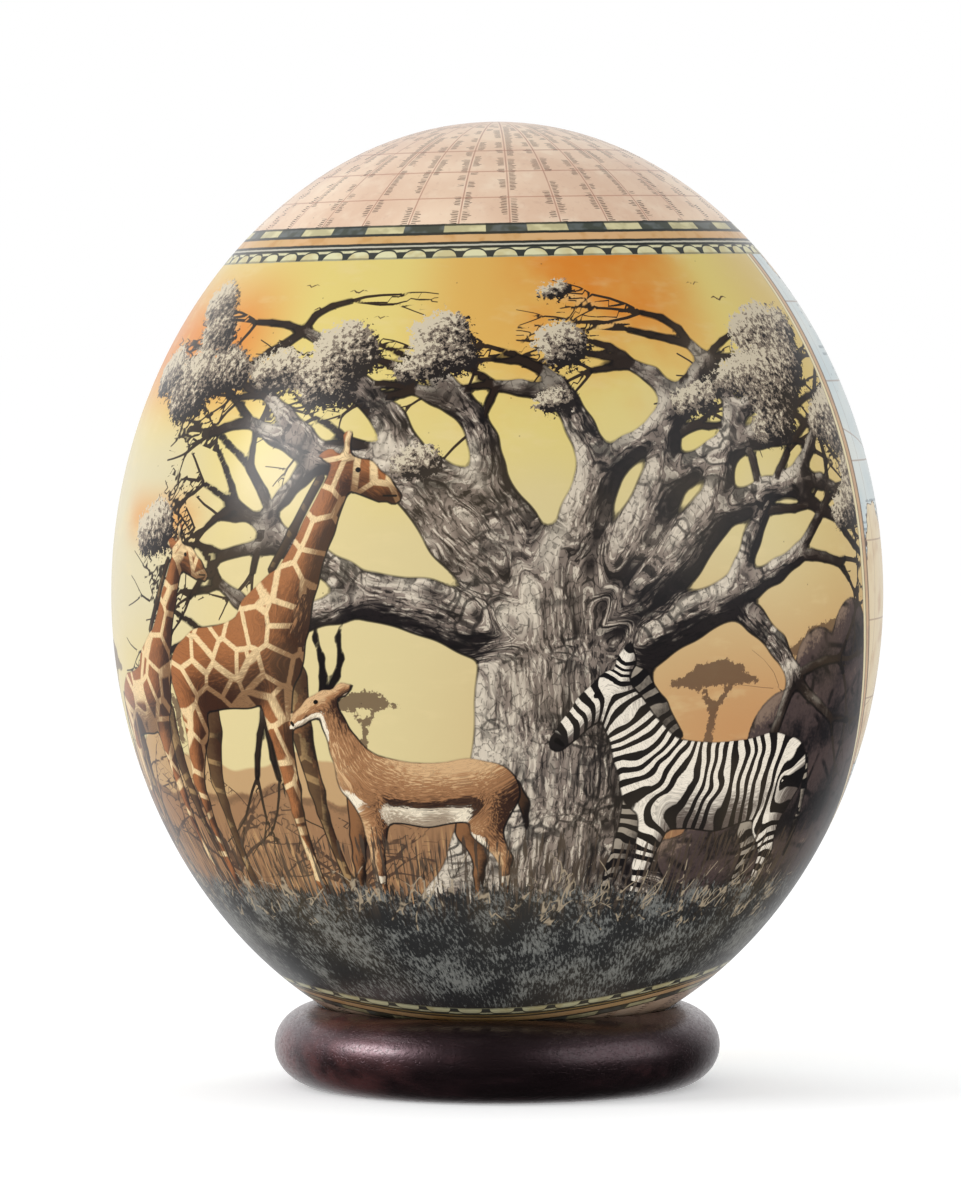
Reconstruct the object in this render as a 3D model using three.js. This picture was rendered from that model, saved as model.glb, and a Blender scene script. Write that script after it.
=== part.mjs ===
// A decorated ostrich egg in its turned wooden ring stand.
// Millimetres, +Z up. The origin is on the surface that the stand rests on, under the egg's tip.
import * as THREE from "three";

// The egg: an ellipse turned about its long axis, and drawn in a little more at the top.
const EGG_WIDTH = 128;
const EGG_LENGTH = 155.3;
const EGG_MIDDLE_Z = 82.1;
const TOP_POINTEDNESS = 0.0069; // how much narrower the top is than the bottom
const END_POINTEDNESS = 0.0248; // how much narrower both ends are than an ellipse

// The ring stand: an oval section with a flat foot, a plain bore and a seat dished to the shell.
const OVAL_CENTRE_RADIUS = 29.1;
const OVAL_HALF_WIDTH = 7.95;
const OVAL_HALF_HEIGHT = 6.83;
const FOOT_FLAT_DEPTH = 0.19; // taken off under the oval
const BORE_RADIUS = 21.4;
const BORE_CHAMFER = 0.8;
const SEAT_RIM_RADIUS = 29.9; // where the shell passes the seat's outer edge
const SEAT_GAP = 0.3;

// Facets.
const TURN_SEGMENTS = 72;
const EGG_STEPS = 36;
const OVAL_STEPS = 14;
const SEAT_STEPS = 6;

const EGG_RADIUS = EGG_WIDTH / 2;
const EGG_HALF_LENGTH = EGG_LENGTH / 2;
const OVAL_CENTRE_Z = OVAL_HALF_HEIGHT - FOOT_FLAT_DEPTH;

// A point of the shell, as (radius, height). The angle runs from -90 degrees at the bottom to 90.
function shellPoint(angle) {
  const rise = Math.sin(angle);
  const drawnIn = 1 - TOP_POINTEDNESS * rise - END_POINTEDNESS * rise * rise;
  return new THREE.Vector2(
    EGG_RADIUS * Math.cos(angle) * drawnIn,
    EGG_MIDDLE_Z + EGG_HALF_LENGTH * rise,
  );
}

// The angle at which the lower half of the shell has this radius, by halving the interval.
function lowerShellAngle(radius) {
  const halvings = 40;
  let low = -Math.PI / 2;
  let high = 0;
  for (let i = 0; i < halvings; i++) {
    const middle = (low + high) / 2;
    if (shellPoint(middle).x < radius) {
      low = middle;
    } else {
      high = middle;
    }
  }
  return low;
}

// A point of the seat: the shell's surface, where it has this radius, moved out by the gap.
function seatPoint(radius) {
  const angle = lowerShellAngle(radius);
  const nearby = 0.001;
  const along = shellPoint(angle + nearby).sub(shellPoint(angle - nearby));
  const outward = new THREE.Vector2(along.y, -along.x).normalize();
  return shellPoint(angle).addScaledVector(outward, SEAT_GAP);
}

// A point of the stand's oval section. The angle runs from straight down, outwards and up.
function ovalPoint(angle) {
  return new THREE.Vector2(
    OVAL_CENTRE_RADIUS + OVAL_HALF_WIDTH * Math.sin(angle),
    OVAL_CENTRE_Z - OVAL_HALF_HEIGHT * Math.cos(angle),
  );
}

// A turned solid: the profile, in (radius, height), goes round the Z axis.
function turned(name, profile, material) {
  const geometry = new THREE.LatheGeometry(profile, TURN_SEGMENTS);
  geometry.rotateX(Math.PI / 2);
  const mesh = new THREE.Mesh(geometry, material);
  mesh.name = name;
  return mesh;
}

function makeEgg() {
  const profile = [];
  for (let step = 0; step <= EGG_STEPS; step++) {
    const point = shellPoint((step / EGG_STEPS - 0.5) * Math.PI);
    if (step === 0 || step === EGG_STEPS) point.x = 0;
    profile.push(point);
  }
  const varnishedShell = new THREE.MeshStandardMaterial({
    color: 0xd9b074,
    roughness: 0.35,
    metalness: 0,
  });
  return turned("ostrich_egg", profile, varnishedShell);
}

// The section goes from the bore out along the foot, over the oval, and back down the seat.
function makeStand() {
  const footEdge = Math.acos(OVAL_CENTRE_Z / OVAL_HALF_HEIGHT);
  const rim = seatPoint(SEAT_RIM_RADIUS);
  const rimAngle = Math.PI - Math.asin((rim.x - OVAL_CENTRE_RADIUS) / OVAL_HALF_WIDTH);
  const profile = [new THREE.Vector2(BORE_RADIUS + BORE_CHAMFER, 0)];
  for (let step = 0; step < OVAL_STEPS; step++) {
    profile.push(ovalPoint(footEdge + ((rimAngle - footEdge) * step) / OVAL_STEPS));
  }
  for (let step = 0; step <= SEAT_STEPS; step++) {
    profile.push(seatPoint(SEAT_RIM_RADIUS + ((BORE_RADIUS - SEAT_RIM_RADIUS) * step) / SEAT_STEPS));
  }
  const seatFoot = profile[profile.length - 1];
  profile.push(new THREE.Vector2(seatFoot.x, BORE_CHAMFER));
  profile.push(profile[0].clone());
  const stainedWood = new THREE.MeshStandardMaterial({
    color: 0x3b1613,
    roughness: 0.35,
    metalness: 0,
  });
  return turned("ring_stand", profile, stainedWood);
}

const object = new THREE.Group();
object.add(makeEgg(), makeStand());

export default object;
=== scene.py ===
import math
import random

import bpy
import numpy as np
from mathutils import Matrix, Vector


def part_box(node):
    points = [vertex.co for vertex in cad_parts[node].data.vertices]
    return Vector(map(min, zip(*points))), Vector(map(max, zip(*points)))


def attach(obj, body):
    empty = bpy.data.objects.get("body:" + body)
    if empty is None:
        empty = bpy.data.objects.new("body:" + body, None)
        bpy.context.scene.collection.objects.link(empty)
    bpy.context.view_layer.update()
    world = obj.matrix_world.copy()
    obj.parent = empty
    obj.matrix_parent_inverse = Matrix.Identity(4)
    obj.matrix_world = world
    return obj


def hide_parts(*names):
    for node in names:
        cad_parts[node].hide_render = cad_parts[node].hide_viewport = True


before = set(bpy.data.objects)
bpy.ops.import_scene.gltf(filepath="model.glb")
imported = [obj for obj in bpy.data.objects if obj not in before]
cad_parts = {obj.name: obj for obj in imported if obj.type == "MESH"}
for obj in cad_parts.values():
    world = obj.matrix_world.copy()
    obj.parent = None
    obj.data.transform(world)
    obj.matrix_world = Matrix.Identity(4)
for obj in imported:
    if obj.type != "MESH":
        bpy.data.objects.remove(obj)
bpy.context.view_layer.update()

# ---------------------------------------------------------------------------------------------
# The camera. A long lens looks level with the upper part of the egg, a little down at its
# middle, and stands straight in front of the scene that is painted on it.
CAMERA_DISTANCE = 1.150
CAMERA_HEIGHT = 0.125
CAMERA_TILT_DOWN = math.radians(2.163)
CAMERA_TURN_LEFT = math.radians(0.138)
CAMERA_LENS = 210.2

camera_data = bpy.data.cameras.new("camera")
camera_data.lens = CAMERA_LENS
camera_data.sensor_width = 36.0
camera = bpy.data.objects.new("camera", camera_data)
camera.location = (0, -CAMERA_DISTANCE, CAMERA_HEIGHT)
camera.rotation_euler = (math.pi / 2 - CAMERA_TILT_DOWN, 0, CAMERA_TURN_LEFT)
bpy.context.scene.collection.objects.link(camera)
bpy.context.scene.camera = camera

# ---------------------------------------------------------------------------------------------
# The studio: a softly lit white table in front of a white tent. A soft box at the left is the
# main light, and a larger, weaker one at the right fills in. Glossy surfaces mirror the tent
# behind the egg and the dark room in front of it, but not the table.
FLOOR_SIZE = 60.0
FLOOR_WHITE = 0.90
FLOOR_GLOW = 0.34
TENT_SHOWN = 1.0
TENT_LIGHT = 0.735
TENT_MIRRORED = 1.0
ROOM_MIRRORED = 0.02
TENT_SIDE = (-0.18, 1.0, 0.35)  # the way to the middle of the tent
TENT_EDGE = 0.42  # a direction's dot product with that, at the tent's edge
EGG_EYE_LEVEL = 0.06
bpy.context.scene.view_settings.view_transform = "Standard"

bpy.ops.object.select_all(action="DESELECT")
bpy.ops.mesh.primitive_plane_add(size=FLOOR_SIZE)
floor = bpy.context.object
floor.name = "table_top"


class Paint:
    """A socket of a material's or the world's nodes, worked with as a number or a colour."""

    tree = None

    def __init__(self, socket):
        self.socket = socket

    @staticmethod
    def node(kind, settings=None, inputs=None):
        """Adds a node: its settings first, then its sockets' values or links."""
        made = Paint.tree.nodes.new("ShaderNode" + kind)
        for name, value in (settings or {}).items():
            setattr(made, name, value)
        for name, value in (inputs or {}).items():
            if isinstance(value, Paint):
                Paint.tree.links.new(value.socket, made.inputs[name])
            else:
                made.inputs[name].default_value = value
        return made

    def math(self, operation, *others):
        values = dict(enumerate((self, *others)))
        return Paint(Paint.node("Math", {"operation": operation}, values).outputs[0])

    def __add__(self, other):
        return self.math("ADD", other)

    __radd__ = __add__

    def __sub__(self, other):
        return self.math("SUBTRACT", other)

    def __rsub__(self, other):
        return (self * -1.0).math("ADD", other)

    def __mul__(self, other):
        return self.math("MULTIPLY", other)

    __rmul__ = __mul__

    def __truediv__(self, other):
        return self.math("DIVIDE", other)

    def __neg__(self):
        return self.math("MULTIPLY", -1.0)

    def __abs__(self):
        return self.math("ABSOLUTE")

    def __pow__(self, other):
        return self.math("POWER", other)

    def least(self, other):
        return self.math("MINIMUM", other)

    def most(self, other):
        return self.math("MAXIMUM", other)

    def wave(self):
        return self.math("SINE")

    def whole(self):
        return self.math("FLOOR")

    def part(self):
        return self.math("FRACT")

    def ease(self, low, high):
        """0 at low and 1 at high, with a soft step between."""
        inputs = {"Value": self, "From Min": low, "From Max": high}
        return Paint(Paint.node("MapRange", {"interpolation_type": "SMOOTHSTEP"}, inputs).outputs[0])

    def slide(self, low, high, start, end):
        """Straight from start, at low, to end, at high."""
        inputs = {"Value": self, "From Min": low, "From Max": high, "To Min": start, "To Max": end}
        return Paint(Paint.node("MapRange", None, inputs).outputs[0])

    def within(self, low, high, soft):
        """1 between low and high."""
        return self.ease(low - soft, low + soft) * self.ease(high + soft, high - soft)

    def split(self):
        made = Paint.node("SeparateXYZ", None, {0: self})
        return [Paint(made.outputs[i]) for i in range(3)]


def new_finish(name):
    """A material with no nodes yet, which Paint works on from now on."""
    material = bpy.data.materials.new(name)
    material.use_nodes = True
    material.node_tree.nodes.clear()
    Paint.tree = material.node_tree
    return material


def put_on(piece, finish, surface):
    """Ends the finish with the sockets of its surface, and puts it on the piece."""
    made = Paint.node("BsdfPrincipled", None, surface)
    Paint.node("OutputMaterial", None, {"Surface": Paint(made.outputs[0])})
    piece.data.materials.append(finish)


white_table = new_finish("white_table")
put_on(floor, white_table, {
    "Base Color": (FLOOR_WHITE, FLOOR_WHITE, FLOOR_WHITE, 1),
    "Roughness": 0.9,
    "Specular IOR Level": 0.0,
    "Emission Color": (1, 1, 1, 1),
    "Emission Strength": FLOOR_GLOW,
})
floor.visible_glossy = False

white_tent = bpy.data.worlds.new("white_tent")
white_tent.use_nodes = True
white_tent.node_tree.nodes.clear()
white_tent.cycles.sampling_method = "NONE"
bpy.context.scene.world = white_tent
Paint.tree = white_tent.node_tree
direction = Paint(Paint.node("TexCoord").outputs["Generated"])
ray = Paint.node("LightPath").outputs
towards_tent = Paint.node("VectorMath", {"operation": "DOT_PRODUCT"}, {0: direction, 1: TENT_SIDE})
mirrored = Paint(towards_tent.outputs["Value"]).slide(TENT_EDGE, 1.0, ROOM_MIRRORED, TENT_MIRRORED)
lighting = Paint(ray["Is Glossy Ray"]).slide(0.0, 1.0, TENT_LIGHT, mirrored)
strength = Paint(ray["Is Camera Ray"]).slide(0.0, 1.0, lighting, TENT_SHOWN)
background = Paint.node("Background", None, {"Color": (1, 1, 1, 1), "Strength": strength})
Paint.node("OutputWorld", None, {"Surface": Paint(background.outputs[0])})


def soft_box(name, bearing, rise, distance, size, power):
    """A soft box that faces the egg. Its bearing is from the front, round to the right."""
    light = bpy.data.lights.new(name, "AREA")
    light.shape = "RECTANGLE"
    light.size, light.size_y = size
    light.energy = power
    lamp = bpy.data.objects.new(name, light)
    bearing, rise = math.radians(bearing), math.radians(rise)
    level = distance * math.cos(rise)
    lamp.location = (
        level * math.sin(bearing),
        -level * math.cos(bearing),
        EGG_EYE_LEVEL + distance * math.sin(rise),
    )
    lamp.rotation_euler = (math.pi / 2 - rise, 0, bearing)
    lamp.visible_camera = False
    bpy.context.scene.collection.objects.link(lamp)


soft_box("left_soft_box", -72, 24, 1.1, (0.56, 0.32), 5.4)
soft_box("right_soft_box", 64, 22, 1.3, (1.5, 1.0), 3.7)

# ---------------------------------------------------------------------------------------------
# The egg: an ostrich's blown shell, pasted all over with printed and hand-coloured paper and
# varnished. A savannah scene goes round its front and a chart round its back, between a
# dashed border under a ruled cap and another border above the stand.
TOP_POINTEDNESS = 0.0069
END_POINTEDNESS = 0.0248
shell_low, shell_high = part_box("ostrich_egg")
SHELL_RADIUS = (shell_high.x - shell_low.x) / 2 * 1000
SHELL_HALF_LENGTH = (shell_high.z - shell_low.z) / 2 * 1000
SHELL_MIDDLE = (shell_high.z + shell_low.z) / 2 * 1000

# Rows and columns of the shell's mesh, in millimetres: fine where the picture is.
PICTURE_FOOT, PICTURE_HEAD = 15.0, 140.0
FINE, COARSE = 0.70, 2.2
FRONT_START, FRONT_ARC = math.radians(-96), math.radians(180)
FRONT_COLUMNS, BACK_COLUMNS = 286, 110


def shell_profile(samples=6000):
    """Heights, radii and distances along the shell from its lower end, in millimetres."""
    rise = np.sin(np.linspace(-math.pi / 2, math.pi / 2, samples))
    drawn_in = 1 - TOP_POINTEDNESS * rise - END_POINTEDNESS * rise**2
    radius = SHELL_RADIUS * np.sqrt(np.maximum(1 - rise**2, 0)) * drawn_in
    height = SHELL_MIDDLE + SHELL_HALF_LENGTH * rise
    run = np.append(0, np.cumsum(np.hypot(np.diff(radius), np.diff(height))))
    return height, radius, run


def turned(name, profile, arcs):
    """A turned piece: one vertex is drawn out along the profile, and the line is spun round."""
    bpy.ops.object.select_all(action="DESELECT")
    bpy.ops.mesh.primitive_plane_add(size=0.001)
    piece = bpy.context.object
    piece.name = name
    bpy.ops.object.mode_set(mode="EDIT")
    bpy.ops.mesh.select_all(action="SELECT")
    bpy.ops.mesh.merge(type="CENTER")
    bpy.ops.transform.translate(value=profile[0])
    for here, there in zip(profile, profile[1:]):
        step = tuple(b - a for a, b in zip(here, there))
        bpy.ops.mesh.extrude_region_move(TRANSFORM_OT_translate={"value": step})
    bpy.ops.mesh.select_all(action="SELECT")
    for arc, steps in arcs:
        bpy.ops.mesh.spin(steps=steps, angle=arc, center=(0, 0, 0), axis=(0, 0, -1))
    bpy.ops.mesh.select_all(action="SELECT")
    bpy.ops.mesh.remove_doubles(threshold=2e-6)
    bpy.ops.mesh.normals_make_consistent(inside=False)
    bpy.ops.object.mode_set(mode="OBJECT")
    bpy.ops.object.shade_smooth()
    return piece


heights, radii, runs = shell_profile()
band = np.interp([PICTURE_FOOT, PICTURE_HEAD], heights, runs)
rows = np.concatenate(
    [
        np.linspace(0, band[0], round(band[0] / COARSE), endpoint=False),
        np.linspace(band[0], band[1], round((band[1] - band[0]) / FINE), endpoint=False),
        np.linspace(band[1], runs[-1], round((runs[-1] - band[1]) / COARSE)),
    ]
)
row_radii = np.interp(rows, runs, radii) / 1000
row_heights = np.interp(rows, runs, heights) / 1000
meridian = [
    (r * math.sin(FRONT_START), -r * math.cos(FRONT_START), z)
    for r, z in zip(row_radii.tolist(), row_heights.tolist())
]
BACK_ARC = 2 * math.pi - FRONT_ARC
shell = turned("painted_shell", meridian, [(FRONT_ARC, FRONT_COLUMNS), (BACK_ARC, BACK_COLUMNS)])

# The drawing's coordinates at each vertex: longitude from the front, and millimetres up the shell.
points = np.empty(len(shell.data.vertices) * 3)
shell.data.vertices.foreach_get("co", points)
points = points.reshape(-1, 3) * 1000
longitude = np.arctan2(points[:, 0], -points[:, 1])
reach = np.hypot(points[:, 0], points[:, 1])
climb = np.interp(points[:, 2], heights, runs)
front = np.flatnonzero(np.abs(longitude) < FRONT_ARC / 2 + 0.1)

# A map for baking: the shell unrolled round and up, with the most room for the front. Its seam
# is at the left of the picture, and each face's corners stay on the face's side of the seam.
FRONT_SHARE, MAP_MARGIN = 0.64, 0.004
corners = np.empty(len(shell.data.loops), dtype=np.int32)
shell.data.loops.foreach_get("vertex_index", corners)
centres = np.empty(len(shell.data.polygons) * 3)
shell.data.polygons.foreach_get("center", centres)
centres = centres.reshape(-1, 3)
sizes = np.empty(len(shell.data.polygons), dtype=np.int32)
shell.data.polygons.foreach_get("loop_total", sizes)
face_turn = np.mod(np.arctan2(centres[:, 0], -centres[:, 1]) - FRONT_START, 2 * math.pi)
face_turn = np.repeat(face_turn, sizes)
corner_turn = np.mod(longitude[corners] - FRONT_START, 2 * math.pi)
corner_turn += 2 * math.pi * np.round((face_turn - corner_turn) / (2 * math.pi))
corner_turn = np.where(reach[corners] < 0.01, face_turn, corner_turn)
around = np.interp(corner_turn, [0, FRONT_ARC, 2 * math.pi], [0, FRONT_SHARE, 1])
upward = climb[corners] / runs[-1]
unrolled = MAP_MARGIN + (1 - 2 * MAP_MARGIN) * np.column_stack([around, upward])
bake_map = shell.data.uv_layers.new(name="OFBake")
bake_map.data.foreach_set("uv", unrolled.astype(np.float32).ravel())


def chain(*places, tone=1.0, start=None):
    """Limbs from a line of (x, y, radius) places. Markings count their way from the start."""
    run = places[0][0] if start is None else start
    limbs = []
    for a, b in zip(places, places[1:]):
        limbs.append((*a, *b, tone, run))
        run += math.hypot(b[0] - a[0], b[1] - a[1])
    return limbs


# Animals, side on and facing right. Each unit is about a hundredth of a giraffe's height.
GIRAFFE = (
    chain((-15, 50, 7.0), (-11, 51, 8.2), (0, 52.5, 8.6), (7, 56, 8.8), (11, 62, 6.3), (14.5, 70, 4.6),
          (18.5, 80, 3.5), (22, 90, 2.8))
    + chain((5, 62, 5.2), (10, 67, 4.4))
    + chain((22.5, 92, 2.9), (27, 91, 2.5), (31, 88.6, 1.9), (34, 86.3, 1.4))
    + chain((24, 90, 2.2), (31, 86.6, 1.2))
    + chain((22.6, 94.5, 0.8), (22.0, 98.3, 0.55), (21.9, 98.9, 0.85))
    + chain((20.6, 93.6, 1.0), (18.6, 94.6, 1.1), (16.6, 94.6, 0.3))
    + chain((8, 51, 5.2), (8.2, 40, 2.8), (8.6, 27.5, 1.7), (8.2, 22, 1.2), (8.0, 6, 0.95),
            (8.8, 1.4, 1.3))
    + chain((-16, 49, 6.2), (-15.5, 39, 3.7), (-18.6, 27.5, 1.8), (-18, 23, 1.25), (-17.2, 6, 1.0),
            (-16.4, 1.4, 1.3))
)
GIRAFFE_BEHIND = (
    chain((12, 50, 4.2), (13.2, 40, 2.4), (14.2, 27.0, 1.6), (14.2, 22, 1.1), (15.0, 6, 0.9),
          (15.8, 1.4, 1.2), tone=0.62)
    + chain((-12, 47, 4.8), (-10.6, 39, 2.9), (-12.2, 27.5, 1.7), (-11.6, 23, 1.1), (-10.6, 6, 0.9),
            (-9.8, 1.4, 1.2), tone=0.62)
    + chain((-22, 53, 0.9), (-24.3, 45, 0.6), (-24.6, 38, 0.6), tone=0.5)
    + chain((-24.6, 37, 0.9), (-24.8, 30, 0.4), tone=0.1)
    + chain((8.2, 71.5, 0.8), (12.6, 79, 0.9), (17.6, 90, 0.9), tone=0.35)
)
ZEBRA = (
    chain((-17.5, 28.5, 6.4), (-13, 28, 7.8), (-3, 26.4, 8.1), (6, 27, 7.9), (11, 29, 6.9), (15, 34, 5.1),
          (19, 40, 3.9), (21.6, 44.2, 3.1))
    + chain((22.2, 44.6, 3.2), (25.4, 41.6, 2.7), (28.2, 38.2, 2.0), (30.2, 35.6, 1.75), start=30)
    + chain((20.6, 46.2, 1.2), (19.7, 49.6, 1.5), (19.3, 52.4, 0.5), start=36)
    + chain((9.5, 25, 4.7), (9.8, 17, 2.2), (9.8, 12, 1.55), (9.5, 9, 1.0), (9.3, 4.2, 0.9), (10.0, 1.3, 1.2),
            start=3)
    + chain((-17.5, 27, 5.9), (-16, 19, 3.3), (-18.6, 13.0, 1.65), (-18.2, 10, 1.1), (-17.6, 4.2, 0.9),
            (-16.8, 1.3, 1.2), start=-24.5)
)
ZEBRA_BEHIND = (
    chain((13, 25, 4.0), (14.2, 17, 2.0), (15.0, 12, 1.45), (15.0, 9, 0.9), (15.4, 4.2, 0.85),
          (16.1, 1.3, 1.1), tone=0.6)
    + chain((-13.5, 24, 4.6), (-11.8, 18, 2.6), (-13.4, 13, 1.6), (-12.8, 10, 1.0), (-11.8, 4.2, 0.85),
            (-11.1, 1.3, 1.1), tone=0.6)
    + chain((-23.4, 31, 0.8), (-25.2, 25, 0.7), (-25.6, 20, 0.6), tone=0.7)
    + chain((-25.6, 19, 0.9), (-25.4, 12, 0.4), tone=0.08)
    + chain((8.5, 36.2, 0.9), (13.0, 41.4, 1.5), (17.0, 46.4, 1.5), (20.6, 49.4, 0.9), tone=0.6)
)
ANTELOPE = (
    chain((-14.5, 29, 5.0), (-11, 28.6, 6.0), (-2, 27.4, 6.1), (6, 28.4, 6.3), (9.6, 31, 5.0),
          (12.4, 36, 3.1), (14.6, 41, 2.2), (15.8, 44.2, 1.9))
    + chain((16.2, 45.2, 2.2), (18.8, 44.0, 1.75), (21.6, 42.0, 1.2), (23.2, 40.8, 0.95), start=30)
    + chain((14.6, 46.4, 0.7), (12.6, 47.6, 1.05), (10.8, 48.2, 0.3), start=30)
    + chain((7.5, 27, 4.2), (8.0, 19, 1.8), (8.2, 13.8, 1.15), (8.0, 10.5, 0.75), (7.8, 4.4, 0.65),
            (8.5, 1.1, 0.9), start=30)
    + chain((-14.5, 28, 5.0), (-13.0, 20.5, 2.7), (-15.8, 14.6, 1.25), (-15.4, 11, 0.8), (-14.8, 4.4, 0.65),
            (-14.1, 1.1, 0.9), start=30)
)
ANTELOPE_BEHIND = (
    chain((10, 26, 3.1), (11.4, 19, 1.6), (12.0, 13.8, 1.1), (12.1, 10.5, 0.75), (12.4, 4.4, 0.65),
          (13.1, 1.1, 0.9), tone=0.6)
    + chain((-11.5, 26, 3.9), (-9.8, 20, 2.3), (-11.2, 14.6, 1.2), (-10.6, 11, 0.8), (-9.8, 4.4, 0.65),
            (-9.1, 1.1, 0.9), tone=0.6)
    + chain((16.8, 46.6, 0.55), (16.4, 50.0, 0.50), (16.6, 53.5, 0.42), (17.8, 57.0, 0.32),
            (17.4, 61.0, 0.14), tone=0.12)
    + chain((15.6, 46.8, 0.50), (13.6, 50.0, 0.44), (12.6, 53.5, 0.38), (13.2, 57.0, 0.28),
            (12.2, 60.5, 0.12), tone=0.12)
    + chain((-19.2, 30, 0.7), (-20.4, 26, 0.8), (-20.4, 21, 0.3), tone=0.3)
)
# Eyes, nostrils and mouths.
GIRAFFE_LINES = chain((25.4, 91.8, 0.5), (25.6, 91.7, 0.5)) + chain((34.2, 86.6, 0.25), (31.4, 86.6, 0.15))
ZEBRA_LINES = chain((24.3, 43.8, 0.55), (24.6, 43.6, 0.55)) + chain((30.6, 35.8, 0.5), (29.4, 34.9, 0.3))
ANTELOPE_LINES = chain((18.0, 45.2, 0.42), (18.2, 45.1, 0.42)) + chain((23.5, 41.0, 0.35), (23.2, 40.6, 0.3))
TAN_COAT, PATCHED_COAT, STRIPED_COAT = 0.0, 1.0, 2.0
ZEBRA_UNIT, ANTELOPE_UNIT = 0.92, 0.86
# Limbs, limbs behind, thin lines, coat, longitude, height of the feet, millimetres a unit, facing.
HERD = [
    (GIRAFFE, GIRAFFE_BEHIND, GIRAFFE_LINES, PATCHED_COAT, -40, 33.0, 0.80, 1),
    (GIRAFFE, GIRAFFE_BEHIND, GIRAFFE_LINES, PATCHED_COAT, -66, 35.0, 0.62, 1),
    (ANTELOPE, ANTELOPE_BEHIND, ANTELOPE_LINES, TAN_COAT, -13, 31.0, ANTELOPE_UNIT, -1),
    (ZEBRA, ZEBRA_BEHIND, ZEBRA_LINES, STRIPED_COAT, 35, 31.0, ZEBRA_UNIT, -1),
]


def place_on_shell(longitude_deg, foot, unit, facing):
    """The front vertices in a figure's own units, from the point on the ground under it."""
    x = (longitude[front] - math.radians(longitude_deg)) * reach[front] * facing / unit
    y = (climb[front] - np.interp(foot, heights, runs)) / unit
    return x, y


def near_limb(x, y, limb, margin):
    """Which places are within a margin of a limb."""
    x1, y1, r1, x2, y2, r2 = limb[:6]
    wide = abs(x1 - x2) / 2 + max(r1, r2) + margin
    high = abs(y1 - y2) / 2 + max(r1, r2) + margin
    return np.flatnonzero((np.abs(x - (x1 + x2) / 2) < wide) & (np.abs(y - (y1 + y2) / 2) < high))


def limb_distances(x, y, limb):
    """Offsets from a limb's centre line, its radius there, the way along it, and to its side."""
    x1, y1, r1, x2, y2, r2 = limb[:6]
    across, up = x2 - x1, y2 - y1
    length = max(math.hypot(across, up), 1e-6)
    share = np.clip(((x - x1) * across + (y - y1) * up) / length**2, 0, 1)
    off_x = x - (x1 + share * across)
    off_y = y - (y1 + share * up)
    return off_x, off_y, r1 + share * (r2 - r1), share * length, (across * off_y - up * off_x) / length


def store(name, values):
    """Keeps a number or a vector for each vertex of the shell."""
    kind, field = ("FLOAT", "value") if values.ndim == 1 else ("FLOAT_VECTOR", "vector")
    attribute = shell.data.attributes.new(name, kind, "POINT")
    attribute.data.foreach_set(field, values.astype(np.float32).ravel())


class Cel:
    """One transparent sheet of a drawing: what is on it, at each vertex of the shell."""

    FAR = 4.0  # millimetres from a body to bare sheet
    DEEPEST = 8.0  # keeps the sums small inside thick limbs

    def __init__(self, name):
        self.name = name
        count = len(points)
        self.edge = np.full(count, self.FAR)
        self.lean = np.zeros((count, 2))
        self.run = np.zeros((count, 3))

    def draw(self, limbs, where, sharp=2.2, melt=0.6):
        """Melts the limbs into one body, and lays it over what is on the sheet already. Sharp
        is how tightly the outline follows the limbs, and melt how far light and markings flow
        from one to the next."""
        unit, facing = where[2:]
        x, y = place_on_shell(*where)
        outline = np.zeros(len(front))
        flow = np.zeros((len(front), 6))
        for limb in limbs:
            close = near_limb(x, y, limb, self.FAR / unit)
            off_x, off_y, radius, along, side = limb_distances(x[close], y[close], limb)
            depth = np.hypot(off_x, off_y) - radius
            outline[close] += np.exp(-sharp * np.maximum(depth, -self.DEEPEST / sharp))
            share = np.exp(-melt * np.maximum(depth, -self.DEEPEST / melt))
            tone, start = limb[6:]
            values = (np.ones(len(close)), off_x / radius, off_y / radius, start + along, side, tone)
            for column, value in enumerate(values):
                flow[close, column] += share * value
        edge = np.minimum(-np.log(np.maximum(outline, 1e-30)) / sharp * unit, self.FAR)
        over = np.flatnonzero(edge < self.edge[front])
        target = front[over]
        flow = flow[over, 1:] / flow[over, :1]
        self.edge[target] = edge[over]
        self.lean[target] = flow[:, :2] * (facing, 1.0)
        self.run[target] = flow[:, 2:] * (unit, unit, 1.0)

    def write(self):
        """Stores the sheet on the shell as two vectors: edge and lean, then run and tone."""
        store(self.name + "_form", np.column_stack([self.edge, self.lean]))
        store(self.name + "_run", self.run)


class Lines:
    """A sheet of thin lines. Each vertex holds the way to the nearest line, so that a line
    narrower than the mesh still shows whole."""

    FAR = 3.0

    def __init__(self, name):
        self.name = name
        self.gap = np.full(len(points), self.FAR)
        self.way = np.full((len(points), 3), self.FAR)

    def draw(self, limbs, where):
        unit, facing = where[2:]
        x, y = place_on_shell(*where)
        for limb in limbs:
            close = near_limb(x, y, limb, self.FAR / unit)
            off_x, off_y, radius = limb_distances(x[close], y[close], limb)[:3]
            gap = (np.hypot(off_x, off_y) - radius) * unit
            over = gap < self.gap[front[close]]
            target = front[close][over]
            self.gap[target] = gap[over]
            self.way[target] = np.column_stack([off_x * facing, off_y, radius])[over] * unit

    def write(self):
        store(self.name + "_way", self.way)
        store(self.name + "_gap", self.gap)


# The tree's limbs divide again and again. The thick ones are bodies, the thin ones are lines.
THINNEST_BODY = 0.45
THICK_LIMB = 3.0
THINNEST_TWIG = 0.15
LIMB_TAPER = 0.90
CROWN_KNEE, CROWN_TOP = 70.0, 101.0
LOWEST_LEAVES = 62


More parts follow.
